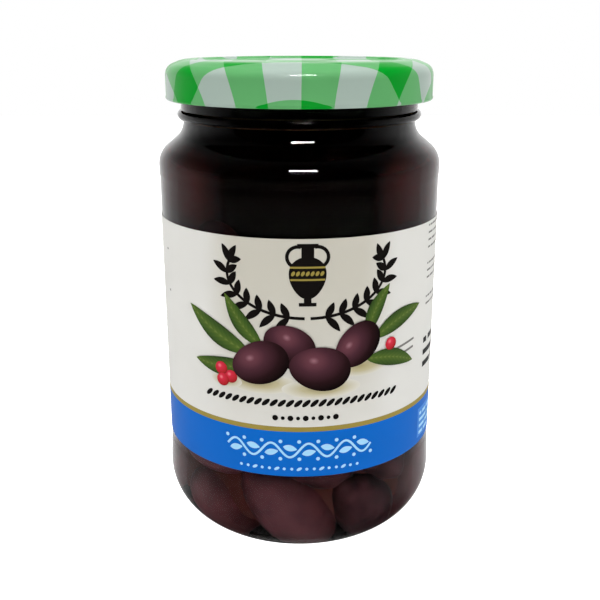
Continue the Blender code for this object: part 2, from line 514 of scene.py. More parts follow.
@dataclass(frozen=True)
class ShadedInk:
    """Halftone inks that model a printed fruit, leaf or soft shadow."""

    name: str
    shading: Shading
    stops: tuple[tuple[float, str], ...]
    veins: tuple[float, float] = (6.0, 2.2)
    vein_tone: float = 0.28
    rib_tone: float = 0.8
    light_spot: tuple[float, float, float] = (-0.26, 0.34, 0.0)
    round_tone: float = 0.72

    def make(self) -> Material:
        """Return the material, whose tone follows each form's own map from -1 to 1."""
        material, tree, shader = new_finish(self.name, VARNISH)
        place = add_node(tree, "ShaderNodeUVMap", {"uv_map": "form"}).outputs["UV"]
        across, up, _ = axes(tree, place)
        if self.shading is Shading.LEAF:
            rib = maths(tree, "ABSOLUTE", up)
            along, slant = (maths(tree, "MULTIPLY", value, gain)
                            for value, gain in zip((across, rib), self.veins))
            veins = maths(tree, "PINGPONG", maths(tree, "SUBTRACT", along, slant), 0.5)
            ribbed = maths(tree, "MULTIPLY", rib, self.rib_tone)
            tone = maths(tree, "MULTIPLY_ADD", veins, self.vein_tone, ribbed)
        else:
            lit = self.shading is Shading.ROUND
            centre, gain = (self.light_spot, self.round_tone) if lit else ((0.0, 0.0, 0.0), 1.0)
            away = add_node(tree, "ShaderNodeVectorMath", {"operation": "DISTANCE"}, {0: place, 1: centre})
            tone = maths(tree, "MULTIPLY", away.outputs["Value"], gain)
        tree.links.new(ramp(tree, tone, self.stops), shader.inputs["Base Color"])
        return material


@dataclass
class GlassJar:
    """The blown glass: rounded heel, label panel, bulged shoulder, neck with a bead, and finish."""

    heel_radius: float
    rim_height: float
    fill_height: float
    body_radius: float = 37.2
    panel_radius: float = 37.06
    panel_top: float = 97.0
    panel_bottom: float = 23.6
    wall: float = 2.4
    heel_height: float = 14.5
    heel_arc: float = 15.57
    heel_end: float = -66.0
    bearing: tuple[float, float] = (27.2, 24.6)
    push_up: tuple[float, float, float] = (23.4, 0.35, 2.6)
    floor_height: float = 2.7
    floor_crown: float = 5.0
    crown_flat: float = 8.0
    crown_fall: float = 0.25
    floor_arc: float = 13.0
    shoulder_arc: float = 6.1
    shoulder_height: float = 99.85
    neck_arc: float = 5.5
    neck_radius: float = 30.45
    neck_height: float = 110.9
    bead: tuple[float, float, float] = (31.9, 112.4, 1.35)
    finish_radius: float = 31.1
    rim_round: float = 0.9
    facets: int = 192

    @property
    def shoulder_centre(self) -> tuple[float, float]:
        """Centre of the shoulder's arc, inside and out."""
        return (self.body_radius - self.shoulder_arc, self.shoulder_height)

    @property
    def neck_centre(self) -> tuple[float, float]:
        """Centre of the neck's hollow arc, inside and out."""
        return (self.neck_radius + self.neck_arc, self.neck_height)

    @property
    def leave_angle(self) -> float:
        """Angle at which the shoulder's arc leaves for the neck's, in degrees."""
        across = self.neck_centre[0] - self.shoulder_centre[0]
        up = self.neck_centre[1] - self.shoulder_centre[1]
        lean = math.asin((self.shoulder_arc + self.neck_arc) / math.hypot(across, up))
        return math.degrees(math.atan2(up, across) + lean) - 90.0

    @property
    def inner_radius(self) -> float:
        """Radius of the cavity beside the label."""
        return self.body_radius - self.wall

    @property
    def knee(self) -> tuple[float, float]:
        """Centre of the arc between the inner floor and the inner wall."""
        return (self.inner_radius - self.floor_arc, self.floor_height + self.floor_arc)

    def cavity(self, inset: float) -> Outline:
        """Outline the inside from the middle of the floor to the neck, moved inwards by inset."""
        shoulder = self.inner_radius - inset - self.shoulder_centre[0]
        points = [(0.0, self.floor_crown + inset),
                  (self.crown_flat, self.floor_crown - self.crown_fall + inset)]
        points += arc(self.knee, self.floor_arc - inset, -90.0, 0.0, 20)
        points += arc(self.shoulder_centre, shoulder, 0.0, self.leave_angle, 10)
        hollow = self.neck_arc + self.wall + inset
        return points + arc(self.neck_centre, hollow, 180.0 + self.leave_angle, 180.0, 10)

    def base(self) -> Outline:
        """Outline the heel, the bearing ring and the push-up, from the heel bead to the axis."""
        edge, start, crown = self.push_up
        rise = crown - start
        dome = (edge ** 2 + rise ** 2) / (2.0 * rise)
        points = arc((self.heel_radius - self.heel_arc, self.heel_height), self.heel_arc,
                     0.0, self.heel_end, 28)
        points += [(self.bearing[0] + 0.35, 0.05), (self.bearing[0], 0.0), (self.bearing[1], 0.0)]
        points += arc((0.0, crown - dome), dome, math.degrees(math.acos(edge / dome)), 90.0, 10)[:-1]
        return [*points, (0.0, crown)]

    def outline(self) -> Outline:
        """Outline the whole glass: up the inside, over the rim and down the outside."""
        bore = self.neck_radius - self.wall
        radius, height, half = self.bead
        swell = self.heel_radius - self.body_radius
        points = self.cavity(0.0)
        edge = self.rim_height - self.rim_round
        points += arc((bore + self.rim_round, edge), self.rim_round, 180.0, 90.0, 6)
        points += arc((self.finish_radius - self.rim_round, edge), self.rim_round, 90.0, 0.0, 6)
        points += arc((self.neck_radius, height), radius - self.neck_radius, 70.0, -90.0, 16, half)
        points += arc(self.neck_centre, self.neck_arc, 180.0, 180.0 + self.leave_angle, 12)
        points += arc(self.shoulder_centre, self.shoulder_arc, self.leave_angle, 0.0, 20)
        points += soften([(self.body_radius, self.shoulder_height - 0.4, 0.0),
                          (self.body_radius, self.panel_top + 0.6, 0.5),
                          (self.panel_radius, self.panel_top - 0.5, 0.5),
                          (self.panel_radius, self.panel_bottom, 0.5),
                          (self.body_radius, self.panel_bottom - 0.9, 0.4),
                          (self.body_radius + 0.55 * swell, self.heel_height + 4.5, 2.0),
                          (self.heel_radius, self.heel_height + 0.8, 0.0)])
        return points + self.base()

    def inside_at(self, height: np.ndarray | list[float], inset: float = 0.0,
                  under: float | None = None) -> np.ndarray:
        """Return the cavity's radius at each height, moved in by inset, and under below its floor."""
        radii, heights = zip(*self.cavity(inset)[2:])
        return np.interp(height, heights, radii, left=under)

    def build(self) -> None:
        """Make the glass piece, its inner face wetted up to the fill level."""
        form = bmesh.new()
        turn(form, self.outline(), self.facets)
        middles = [face.calc_center_median() / MM for face in form.faces]
        halfway = self.inside_at([middle.z for middle in middles], -self.wall / 2.0, 0.0)
        for face, middle, limit in zip(form.faces, middles, halfway):
            wetted = math.hypot(middle.x, middle.y) < limit and middle.z < self.fill_height
            face.material_index = 1 if wetted else 0
        materials = [FlintGlass().make(), WettedGlass().make()]
        keep(make_piece(form, "glass_jar", materials), "jar_glass", "jar")


@dataclass
class OliveFill:
    """Olives settled in brine: separate fruits near the glass over a dark core.

    They are painted paler low in the jar and at its sides, where light comes in, as in the photographed
    one.
    """

    jar: GlassJar
    fill_height: float
    count: int = 68
    half_length: float = 12.2
    half_width: float = 8.2
    steps: int = 900
    seed: int = 7
    clearance: float = 0.05
    press_gap: float = 0.12
    core_inset: float = 4.0
    core_drop: float = 8.0
    core_bevel: float = 2.0
    brine_reach: float = 0.2
    meniscus: tuple[float, float] = (0.8, 0.3)
    ball_widths: tuple[float, float, float] = (0.80, 0.98, 0.80)
    size_range: tuple[float, float] = (0.9, 1.08)
    first_height: float = 14.0
    pour_height: float = 25.0
    upright: float = 0.7
    spread: float = 0.74
    fall: float = 0.35
    give: float = 0.32
    taper: tuple[float, float] = (0.07, 0.05)
    point: float = 0.9
    point_start: float = 0.93
    flatness: float = 0.97
    own_tone: tuple[float, float] = (-0.15, 0.3)
    # From low_fade to side_tone: light and shade painted into the olives' colour, and one darker patch
    low_fade: tuple[float, float] = (30.0, 45.0)
    neck_fade: tuple[float, float] = (98.0, 6.0)
    dark_patch: tuple[float, float] = (12.0, 10.0)
    low_tone: float = 0.7
    neck_tone: float = 0.6
    side_tone: tuple[float, float, float] = (1.6, 1.2, 0.9)
    swell: float = 1.08
    balls: tuple[float, ...] = (-5.4, 0.0, 5.4)

    def settle(self) -> tuple[np.ndarray, np.ndarray, np.ndarray]:
        """Let the olives fall and push each other apart until they lie packed.

        Each olive is a row of three balls. Balls that overlap move apart, and
        the glass moves them in.

        Returns:
            The olives' centres, long directions and sizes.
        """
        draw = np.random.default_rng(self.seed)
        centres = np.empty((self.count, 3))
        angle = draw.uniform(0.0, math.tau, self.count)
        away = self.jar.inner_radius * self.spread * np.sqrt(draw.uniform(0.15, 1.0, self.count))
        centres[:, 0] = away * np.cos(angle)
        centres[:, 1] = away * np.sin(angle)
        centres[:, 2] = np.linspace(self.first_height, self.fill_height + self.pour_height, self.count)
        ways = draw.normal(0.0, 1.0, (self.count, 3)) * (1.0, 1.0, self.upright)
        ways /= np.linalg.norm(ways, axis=1, keepdims=True)
        sizes = draw.uniform(*self.size_range, self.count)
        offsets = np.array(self.balls)[None, :] * sizes[:, None]
        radii = sizes[:, None] * self.half_width * np.array(self.ball_widths)[None, :]
        owner = np.repeat(np.arange(self.count), len(self.balls))
        apart = owner[:, None] != owner[None, :]
        reachable = radii.reshape(-1)[:, None] + radii.reshape(-1)[None, :]
        for step in range(self.steps):
            centres[:, 2] -= self.fall * (1.0 - step / self.steps)
            balls = (centres[:, None, :] + offsets[..., None] * ways[:, None, :]).reshape(-1, 3)
            gap = balls[:, None, :] - balls[None, :, :]
            length = np.linalg.norm(gap, axis=2) + 1e-9
            overlap = np.clip(reachable - length, 0.0, None) * apart
            push = (gap / length[..., None] * overlap[..., None]).sum(1) * self.give
            push += self.glass_push(balls + push, radii.reshape(-1))
            push = push.reshape(self.count, -1, 3)
            centres += push.mean(1)
            turning = np.cross(ways[:, None, :] * offsets[..., None], push).sum(1)
            ways += np.cross(turning / (offsets ** 2).sum(1)[:, None], ways)
            ways /= np.linalg.norm(ways, axis=1, keepdims=True)
        return centres, ways, sizes

    def glass_push(self, balls: np.ndarray, radii: np.ndarray) -> np.ndarray:
        """Return how far the glass moves each ball inwards or up."""
        move = np.zeros_like(balls)
        away = np.hypot(balls[:, 0], balls[:, 1]) + 1e-9
        arc_radius = self.jar.floor_arc
        knee, knee_height = self.jar.knee
        over = away + radii + self.clearance - self.jar.inside_at(balls[:, 2] + 0.5 * radii)
        in_heel = (balls[:, 2] < knee_height) & (away > knee)
        inward = np.where(in_heel, 0.0, np.clip(over, 0.0, None))
        move[:, :2] -= balls[:, :2] / away[:, None] * inward[:, None]
        across = away - knee
        down = balls[:, 2] - knee_height
        distance = np.hypot(across, down) + 1e-9
        deep = np.where(in_heel, np.clip(distance + radii + self.clearance - arc_radius, 0.0, None), 0.0)
        move[:, :2] -= balls[:, :2] / away[:, None] * (deep * across / distance)[:, None]
        move[:, 2] -= deep * down / distance
        floor = self.jar.floor_crown + self.clearance + radii
        move[:, 2] += np.where(in_heel, 0.0, np.clip(floor - balls[:, 2], 0.0, None))
        return move

    def add_olive(self, form: Form, centre: Vector, way: Vector, size: float) -> list:
        """Add one olive, egg-shaped with a small point at one end.

        Args:
            form: The mesh that gets it.
            centre: Its middle in millimetres.
            way: Its long direction.
            size: Its size against the usual olive.

        Returns:
            Its vertices.
        """
        made = bmesh.ops.create_uvsphere(form, u_segments=22, v_segments=14, radius=1.0)["verts"]
        for vert in made:
            along = vert.co.z
            shape = 1.0 - self.taper[0] * along - self.taper[1] * along ** 2
            girth = self.swell * self.half_width * size * shape
            tip = self.point * max(0.0, abs(along) - self.point_start) / (1.0 - self.point_start)
            vert.co.x *= girth
            vert.co.y *= girth * self.flatness
            vert.co.z = along * self.swell * self.half_length * size + math.copysign(tip, along)
        turn_up = Vector((0.0, 0.0, 1.0)).rotation_difference(way).to_matrix().to_4x4()
        place = Matrix.Translation(centre) @ turn_up
        bmesh.ops.transform(form, matrix=Matrix.Scale(MM, 4) @ place, verts=made)
        return made

    def build_olives(self) -> None:
        """Make the olives that sink in the brine, as one piece."""
        form = bmesh.new()
        ripeness_and_light = form.verts.layers.float.new("ripeness_and_light")
        draw = np.random.default_rng(self.seed + 1)
        centres, ways, sizes = self.settle()
        for centre, way, size in zip(centres, ways, sizes):
            # Each olive's own ripeness, plus the light and shade painted in by where it lies
            own = float(draw.uniform(*self.own_tone)) + self.tone_at(*centre)
            for vert in self.add_olive(form, Vector(centre), Vector(way), float(size)):
                vert[ripeness_and_light] = own
        self.press(form)
        LOG.info("olives reach %.1f mm", centres[:, 2].max())
        keep(make_piece(form, "olives", [OliveSkin().make()], 60.0), "olives_in_brine", "contents")

    def tone_at(self, across: float, back: float, up: float) -> float:
        """Return the light and shade painted into the olives' colour at a place, as in the photographed
        jar.

        They are painted redder low down and beside the shoulder, where light comes in, and nearly
        black in the neck and in the middle, where shade falls, and in one patch low on the right of
        the front. A fade is a start and a length in millimetres, and the patch a middle and a width.
        """
        falling, high = (min(1.0, max(0.0, up - start) / length)
                         for start, length in (self.low_fade, self.neck_fade))
        low = 1.0 - falling
        gain, most, less = self.side_tone
        beside = min(1.0, (across / self.jar.inner_radius) ** 2 * gain)
        middle, width = self.dark_patch
        patch = math.exp(-((across - middle) / width) ** 2) if back < 0.0 else 0.0
        edge = beside * (most - less * low) * (1.0 - high)
        return self.low_tone * low * (1.0 - patch) + edge - self.neck_tone * high

    def press(self, form: Form) -> None:
        """Flatten the olives where they would reach into the glass."""
        places = np.array([vert.co for vert in form.verts]) / MM
        arc_radius = self.jar.floor_arc
        knee, knee_height = self.jar.knee
        away = np.hypot(places[:, 0], places[:, 1]) + 1e-9
        in_heel = (places[:, 2] < knee_height) & (away > knee)
        across = away - knee
        down = places[:, 2] - knee_height
        share = np.minimum(1.0, (arc_radius - self.press_gap) / (np.hypot(across, down) + 1e-9))
        beside = np.minimum(away, self.jar.inside_at(places[:, 2]) - self.press_gap)
        pressed = np.where(in_heel, knee + across * share, beside)
        heights = (self.jar.floor_crown, self.jar.floor_height)
        floor = np.interp(away, (self.jar.crown_flat, knee), heights) + self.press_gap
        height = np.where(in_heel, knee_height + down * share, np.maximum(places[:, 2], floor))
        places[:, :2] *= (pressed / away)[:, None]
        for vert, place, up in zip(form.verts, places, height):
            vert.co = (place[0] * MM, place[1] * MM, up * MM)

    def build_core(self) -> None:
        """Make the dark core that stands for the olives nobody can see."""
        top = self.fill_height - self.core_drop
        side = [point for point in self.jar.cavity(self.core_inset) if point[1] < top]
        outline = [(0.0, top), (side[-1][0] - self.core_bevel, top), *reversed(side)]
        turn_piece("olive_core", outline, 96, OliveShade().make(), "olives_in_brine", "contents")

    def build_brine(self) -> None:
        """Make the brine, which reaches just into the glass and stops at the fill level."""
        side = self.jar.cavity(-self.brine_reach)
        edge = side[-1][0]
        width, rise = self.meniscus
        level = [(0.0, self.fill_height), (edge - width, self.fill_height), (edge, self.fill_height + rise)]
        turn_piece("brine", [*level, *reversed(side)], self.jar.facets, OliveBrine().make(),
                   "olives_in_brine", "contents")


@dataclass
class DrawnLid:
    """A lid drawn from printed sheet: stepped panel, rounded corner, skirt and rolled curl."""

    radius: float
    bottom: float
    top: float
    sheet: float = 0.25
    corner: float = 3.0
    corner_height: float = 122.4
    corner_end: float = 65.0
    ring_outer: float = 30.2
    curl: float = 0.65
    curl_step: float = 0.13
    ring_inner: float = 27.3
    panel_radius: float = 26.3
    panel_drop: float = 0.55
    button_radius: float = 9.0
    button_rise: float = 0.3
    print_turn: float = 0.035
    crown_draw: float = 1.035
    skirt_draw: float = 0.915
    stretch_start: float = 30.5
    stretch: float = 0.2
    lugs: int = 6
    lug: tuple[float, float, float] = (1.5, 4.4, 0.42)
    lug_turn: float = 0.12
    lug_reach: float = 0.2
    upward: float = 0.3
    seal: tuple[float, float, float] = (28.8, 30.3, 30.8)
    seal_gap: float = 0.02
    facets: int = 192

    @property
    def skirt(self) -> float:
        """Outer radius of the skirt above the curl."""
        return self.radius - self.curl_step

    def side(self, depth: float) -> Outline:
        """Outline the lid from its middle to the foot of its skirt, depth below its outer face."""
        panel = self.top - self.panel_drop - depth
        top = self.top - depth
        centre = (self.skirt - self.corner, self.corner_height)
        bend = arc(centre, self.corner - depth, self.corner_end, 0.0, 12)
        points = soften([(0.0, panel + self.button_rise, 0.0),
                         (self.button_radius - 1.2, panel + self.button_rise, 1.5),
                         (self.button_radius + 0.6, panel, 0.8),
                         (self.panel_radius - depth * 0.4, panel, 0.4),
                         (self.ring_inner - depth * 0.4, top, 0.4),
                         (self.ring_outer, top, 1.3), (*bend[0], 0.0)])
        return points + bend[1:]

    def outline(self) -> Outline:
        """Outline the sheet: over the top, down, round the curl and back inside."""
        centre = (self.radius - self.curl, self.bottom + self.curl)
        outer = math.degrees(math.acos((self.skirt - centre[0]) / self.curl))
        inner = math.degrees(math.acos((self.skirt - self.sheet - centre[0]) / self.curl)) - 360.0
        roll = arc(centre, self.curl, outer, inner, 20)
        return self.side(0.0) + roll + list(reversed(self.side(self.sheet)))

    def sheet_place(self, place: Vector) -> tuple[float, float]:
        """Find where a point of the drawn lid lay on the flat printed sheet.

        Drawing keeps the metal's area, so a point of the skirt comes from
        further out. The last of the skirt was stretched on the way down.

        Args:
            place: A point of the lid in metres.

        Returns:
            Distance across and along the sheet from its middle, in millimetres.
        """
        radius = math.hypot(place.x, place.y) / MM
        below = self.top - place.z / MM if radius > self.ring_outer - 1.5 else 0.0
        flat = math.sqrt((self.crown_draw * radius) ** 2 + 2.0 * self.skirt_draw * radius * max(below, 0.0))
        across = flat * place.x / MM / max(radius, 1e-6)
        along = -flat * place.y / MM / max(radius, 1e-6)
        turned = along - self.print_turn * across
        beyond = max(0.0, abs(turned) - self.stretch_start)
        return (across, turned - math.copysign(self.stretch * beyond, turned))

    def build(self) -> None:
        """Make the lid, enamelled outside and lacquered inside."""
        form = bmesh.new()
        turn(form, self.outline(), self.facets)
        self.add_lugs(form)
        sheet_map = form.loops.layers.uv.new("flat sheet")
        inner_edge = self.radius - 2.0 * self.curl
        for face in form.faces:
            middle = face.calc_center_median()
            radius = math.hypot(middle.x, middle.y) / MM
            above = face.normal.z > self.upward
            outwards = above or face.normal.dot(Vector((middle.x, middle.y, 0.0))) > 0
            inside = radius < inner_edge + self.sheet and not above
            face.material_index = 0 if outwards and not inside else 1
            for loop in face.loops:
                loop[sheet_map].uv = self.sheet_place(loop.vert.co)
        materials = [CheckedEnamel().make(), GoldLacquer().make()]
        keep(make_piece(form, "lid_shell", materials), "lid_enamel", "lid")

    def add_lugs(self, form: Form) -> None:
        """Add the lugs pressed inwards from the curl, which grip the glass."""
        away = self.radius - 2.0 * self.curl - self.lug_reach
        for index in range(self.lugs):
            lug = bmesh.ops.create_uvsphere(form, u_segments=16, v_segments=10, radius=1.0)["verts"]
            shape = Matrix.Diagonal((*self.lug, 1.0))
            at = Matrix.Translation((away, 0.0, self.bottom + self.curl))
            spread = Matrix.Rotation(math.tau * index / self.lugs + self.lug_turn, 4, "Z")
            bmesh.ops.transform(form, matrix=Matrix.Scale(MM, 4) @ spread @ at @ shape, verts=lug)

    def build_seal(self, rim_height: float) -> None:
        """Make the ring of sealing compound between the lid and the rim."""
        inner, upper, lower = self.seal
        top = self.top - self.sheet - self.seal_gap
        low = rim_height + self.seal_gap
        outline = soften([(inner, low, 0.0), (inner, top, 0.1), (upper, top, 0.2), (lower, low, 0.1),
                          (inner, low, 0.0)], 3)
        turn_piece("lid_seal", outline, 96, SealingCompound().make(), "lid_enamel")


@dataclass
class InkLayer:
    """Flat forms of one printed ink, drawn in label millimetres and then wrapped.

    The drawing's first axis runs round the jar, its second one up it, and its
    third one out of the paper. Each form lies a step over the one before it.
    """

    name: str
    material: Material
    lift: float = 0.012
    step: float = 0.0
    forms: int = 0
    form: Form = field(default_factory=bmesh.new)

    def __post_init__(self) -> None:
        """Add the map that places each point within its own form."""
        self.map = self.form.loops.layers.uv.new("form")

    def set_down(self, verts: list, across: float, up: float, turned: float) -> None:
        """Turn a form that was drawn round the origin and put it in place."""
        self.forms += 1
        move = Matrix.Translation((across, up, self.forms * self.step))
        rotation = Matrix.Rotation(math.radians(turned), 4, "Z")
        bmesh.ops.transform(self.form, matrix=move @ rotation, verts=verts)

    def set_map(self, verts: list, width: float, height: float) -> None:
        """Map a form that was drawn round the origin from -1 to 1 both ways."""
        for face in {face for vert in verts for face in vert.link_faces}:
            for loop in face.loops:
                loop[self.map].uv = (2.0 * loop.vert.co.x / width, 2.0 * loop.vert.co.y / height)

    def oval(self, across: float, up: float, width: float, height: float, turned: float = 0.0,
             egg: float = 0.0, corners: int = 32) -> None:
        """Draw a filled oval, fuller at its right end by egg."""
        verts = bmesh.ops.create_circle(self.form, cap_ends=True, segments=corners, radius=1.0)["verts"]
        for vert in verts:
            vert.co.y *= (1.0 + egg * vert.co.x) * height / 2.0
            vert.co.x *= width / 2.0
        self.set_map(verts, width, height)
        self.set_down(verts, across, up, turned)

    def bar(self, across: float, up: float, width: float, height: float, turned: float = 0.0) -> None:
        """Draw a filled rectangle."""
        verts = bmesh.ops.create_grid(self.form, x_segments=1, y_segments=1, size=0.5)["verts"]
        bmesh.ops.scale(self.form, vec=(width, height, 1.0), verts=verts)
        self.set_down(verts, across, up, turned)

    def leaf(self, across: float, up: float, length: float, width: float, turned: float,
             bend: float = 0.0) -> None:
        """Draw a narrow leaf that starts at a point, with pointed ends and a bend."""
        verts = bmesh.ops.create_grid(self.form, x_segments=12, y_segments=2, size=1.0)["verts"]
        for vert in verts:
            t = (vert.co.x + 1.0) / 2.0
            swell = math.sin(math.pi * min(max(t, 0.0), 1.0)) ** 0.75 * (1.15 - 0.3 * t)
            vert.co.y *= max(swell, 0.02) * width / 2.0
        self.set_map(verts, 2.0, width)
        for vert in verts:
            vert.co.x = (vert.co.x + 1.0) * length / 2.0
            vert.co.y += bend * math.sin(math.pi * vert.co.x / length)
        self.set_down(verts, across, up, turned)

    def stroke(self, path: Callable[[float], tuple[float, float]], width: float, pieces: int) -> None:
        """Draw a line of even width along a path given for 0 to 1."""
        verts = bmesh.ops.create_grid(self.form, x_segments=pieces, y_segments=1, size=1.0)["verts"]
        for vert in verts:
            t = (vert.co.x + 1.0) / 2.0
            here = Vector(path(t))
            ahead = Vector(path(t + 0.001)) - Vector(path(t - 0.001))
            normal = Vector((-ahead.y, ahead.x)).normalized()
            spot = here + normal * vert.co.y * width / 2.0
            vert.co = (spot.x, spot.y, 0.0)

    def wrap(self, radius: float, column: float, thickness: float = 0.012) -> None:
        """Cut the drawing into the label's columns, thicken it and bend it round the jar.

        Args:
            radius: Radius of the paper's face in millimetres.
            column: Width of a column; the paper is faceted at the same places.
            thickness: Thickness of the ink.
        """
        bmesh.ops.remove_doubles(self.form, verts=self.form.verts, dist=0.001)
        slice_columns(self.form, column)
        wrap_round(self.form, thickness, radius + self.lift)
        keep(make_piece(self.form, self.name, [self.material]), "label_paper")


def cut(form: Form, axis: Vector, distance: float) -> None:
    """Cut a flat drawing square to an axis, at a distance along it."""
    everything = form.verts[:] + form.edges[:] + form.faces[:]
    bmesh.ops.bisect_plane(form, geom=everything, dist=0.0001, plane_co=axis * distance, plane_no=axis)


def slice_columns(form: Form, column: float) -> None:
    """Cut a flat drawing at every multiple of column, so that it bends smoothly."""
    places = [vert.co.x for vert in form.verts]
    first = math.floor(min(places) / column) + 1
    last = math.ceil(max(places) / column) - 1
    for index in range(first, last + 1):
        cut(form, Vector((1.0, 0.0, 0.0)), index * column)


def wrap_round(form: Form, thickness: float, radius: float) -> None:
    """Thicken a flat drawing in millimetres and bend it round the jar at a radius, in metres."""
    top = bmesh.ops.extrude_face_region(form, geom=form.faces[:])["geom"]
    raised = [item for item in top if isinstance(item, bmesh.types.BMVert)]
    bmesh.ops.translate(form, vec=(0.0, 0.0, thickness), verts=raised)
    for vert in form.verts:
        across, up, out = vert.co
        angle = across / radius
        vert.co = Vector(((radius + out) * math.sin(angle), -(radius + out) * math.cos(angle), up)) * MM
    face_outwards(form)


@dataclass
class LabelPrint:
    """A black wreath round an amphora, a still life of olives, and plain ornament.

    Places are millimetres round the jar from the label's middle and up from
    its base. Every ink is a piece of its own.
    """

    radius: float
    column: float
    wreath: tuple[float, float, float, float] = (2.0, 78.2, 20.0, 10.6)
    leaves_a_side: int = 8
    fruits: tuple[tuple[float, float, float, float, float], ...] = (
        (14.8, 60.0, 13.5, 10.2, 40.0), (-2.4, 60.4, 13.5, 10.4, -30.0),
        (-9.8, 55.8, 15.0, 11.0, 20.0), (5.2, 54.6, 15.5, 11.3, -10.0))
    leaves: tuple[tuple[float, float, float, float, float], ...] = (
        (-9.0, 60.0, 16.0, 4.4, 128.0), (-12.0, 58.0, 21.0, 5.4, 152.0), (-12.0, 55.0, 17.0, 4.8, 184.0),
        (17.0, 62.0, 14.0, 4.2, 62.0), (19.0, 61.0, 18.0, 4.8, 18.0), (17.0, 56.0, 17.0, 4.6, -14.0))
    berries: tuple[tuple[float, float], ...] = ((-17.6, 51.2), (-20.4, 53.0), (-20.0, 50.0), (24.6, 58.6))
    shadows: tuple[tuple[float, float, float, float], ...] = (
        (-10.0, 50.6, 19.0, 5.6), (5.6, 49.4, 20.0, 5.2), (16.0, 54.2, 15.0, 5.0), (-19.0, 50.0, 9.0, 3.6))
    small_rows: tuple[tuple[float, float, int, float], ...] = (
        (40.5, 86.0, 4, 18.0), (40.5, 76.0, 3, 18.0), (40.5, 67.0, 2, 18.0),
        (-43.0, 79.5, 1, 2.0), (-42.5, 68.5, 1, 2.0), (-96.0, 86.0, 20, 34.0))

    def draw_wreath(self, ink: InkLayer) -> None:
        """Draw two leafy branches that meet below the amphora."""
        for side in (-1.0, 1.0):
            ink.stroke(partial(self.branch, side), 0.75, 24)
            for index in range(self.leaves_a_side):
                share = 0.14 + 0.86 * index / (self.leaves_a_side - 1)
                t = share * (0.7 + 0.3 * share)
                start = Vector(self.branch(side, t))
                ahead = Vector(self.branch(side, t + 0.01)) - start
                way = math.degrees(math.atan2(ahead.y, ahead.x))
                for spread in (-54.0, 54.0) if index < self.leaves_a_side - 1 else (-50.0, 0.0, 50.0):
                    length = (4.2 if spread * side > 0.0 else 5.4) - 0.8 * t
                    ink.leaf(start.x, start.y, length, 1.8, way + spread, -0.2 if spread > 0.0 else 0.2)

    def branch(self, side: float, t: float) -> tuple[float, float]:
        """Return a place on the left or the right branch, from its foot at 0 to its tip at 1."""
        across, up, half_width, half_height = self.wreath
        angle = math.radians(-88.0 + 102.0 * t)
        return (across + side * half_width * math.cos(angle), up + half_height * math.sin(angle))

    def draw_amphora(self, ink: InkLayer, trim: InkLayer) -> None:
        """Draw a two-handled jar in the wreath, with bands of the trim's ink across it."""
        across, middle = self.wreath[0], self.wreath[1] - 0.6
        ink.oval(across, middle, 10.4, 8.8, 90.0, egg=0.2)
        ink.bar(across, middle - 5.4, 1.8, 1.6)
        ink.bar(across, middle - 6.5, 4.2, 0.9)
        ink.bar(across, middle + 5.8, 3.0, 3.4)
        ink.bar(across, middle + 7.8, 5.0, 1.0)
        for side in (-1.0, 1.0):
            ink.stroke(partial(self.handle, side), 0.85, 14)
        for height, width in ((2.6, 8.4), (-0.4, 8.2)):
            trim.bar(across, middle + height, width, 0.45)
        for place in range(-3, 4):
            trim.oval(across + place * 1.15, middle + 1.1, 0.8, 1.3, -30.0, corners=12)

    def handle(self, side: float, t: float) -> tuple[float, float]:
        """Return a place on one of the amphora's handles, from the lip to the shoulder."""
        across, middle = self.wreath[0], self.wreath[1] - 0.6
        angle = math.radians(105.0 - 190.0 * t)
        return (across + side * (2.3 + 2.6 * math.cos(angle)), middle + 5.1 + 2.5 * math.sin(angle))

    def draw_rope(self, ink: InkLayer) -> None:
        """Draw a twisted rope under the still life and a short row of dots under it."""
        for index in range(26):
            across = -24.5 + 2.02 * index
            ink.oval(across, 45.6, 2.7, 1.15, 42.0, corners=16)
        for index in range(-4, 5):
            size = 1.0 if index % 2 else 1.5
            ink.oval(1.6 + 1.9 * index, 41.6, size, size, corners=12)

    def draw_vine(self, ink: InkLayer) -> None:
        """Draw a wavy vine with leaves and berries on the blue band, and a dotted row under it."""
        waves, half, middle, swing = 4.0, 19.0, 32.8, 1.9
        ink.stroke(lambda t: (half * (2.0 * t - 1.0), middle + swing * math.sin(math.tau * waves * t)),
                   0.6, 120)
        for index in range(int(2 * waves)):
            t = (index + 0.5) / (2.0 * waves)
            across = half * (2.0 * t - 1.0)
            side = 1.0 if index % 2 == 0 else -1.0
            ink.leaf(across - 1.7, middle - side * 1.0, 3.6, 1.7, side * 12.0)
            for gap in (2.4, -2.4):
                ink.oval(across + gap, middle + side * (swing + 0.5), 1.0, 1.0, corners=12)
        for index in range(-8, 9):
            ink.oval(1.9 * index, 27.6, 1.5 if index % 3 == 0 else 0.8, 0.8, 30.0, corners=12)

    def draw_small_rows(self, ink: InkLayer, left: float, top: float, rows: int, longest: float,
                        thick: float = 0.75, spacing: float = 1.9) -> None:
        """Draw rows of short bars of uneven lengths, as ruled filler."""
        for row in range(rows):
            start = left
            for place in range(20):
                length = thick * (1.6 + 1.5 * ((row * 3 + place * 5) % 4))
                if start + length > left + longest:
                    break
                ink.bar(start + length / 2.0, top - row * spacing, length, thick)
                start += length + thick

    def draw_table(self, ink: InkLayer) -> None:
        """Draw an empty ruled table on the back."""
        left, low, width, rows, row_height, line = 66.0, 46.0, 34.0, 9, 3.6, 0.3
        height = rows * row_height
        for row in range(rows + 1):
            ink.bar(left + width / 2.0, low + row * row_height, width + line, line)
        for place in (0.0, 0.62, 1.0):
            ink.bar(left + place * width, low + height / 2.0, line, height)

